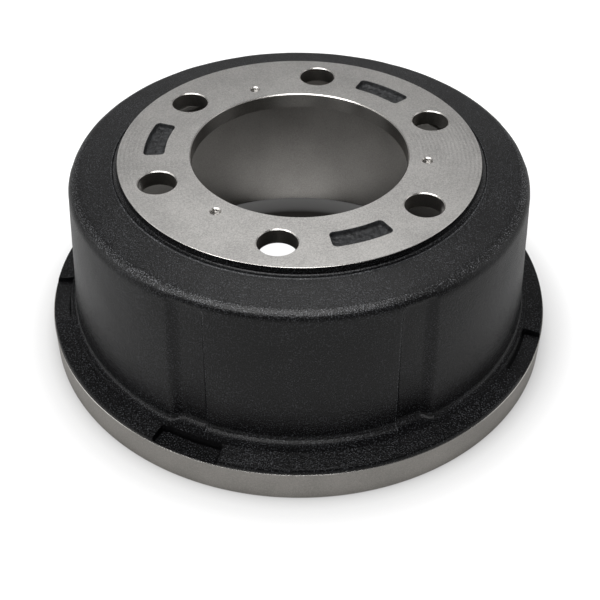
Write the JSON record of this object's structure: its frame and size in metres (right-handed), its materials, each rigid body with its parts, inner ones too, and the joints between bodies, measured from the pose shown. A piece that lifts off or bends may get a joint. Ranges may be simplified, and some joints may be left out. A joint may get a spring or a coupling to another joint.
{
  "type": "brake drum",
  "caption": "Round cast brake drum: a faced hub plate with a centring bore and stud holes on top, a deep barrel with raised pads, and an open brake chamber below.",
  "frame": {"origin": "on the drum's axis, in the plane of the open mouth that the drum stands on", "axes": "+Z along the drum's axis, from the open mouth to the faced hub plate; the front is -Y"},
  "size_m": [0.401, 0.401, 0.157],
  "materials": {
    "drum_iron": "matt black paint on the cast skin, bare turned iron on the hub face, the bore and the rim"
  },
  "bodies": {
    "root": {"brake_drum": "drum_iron"}
  },
  "joints": []
}
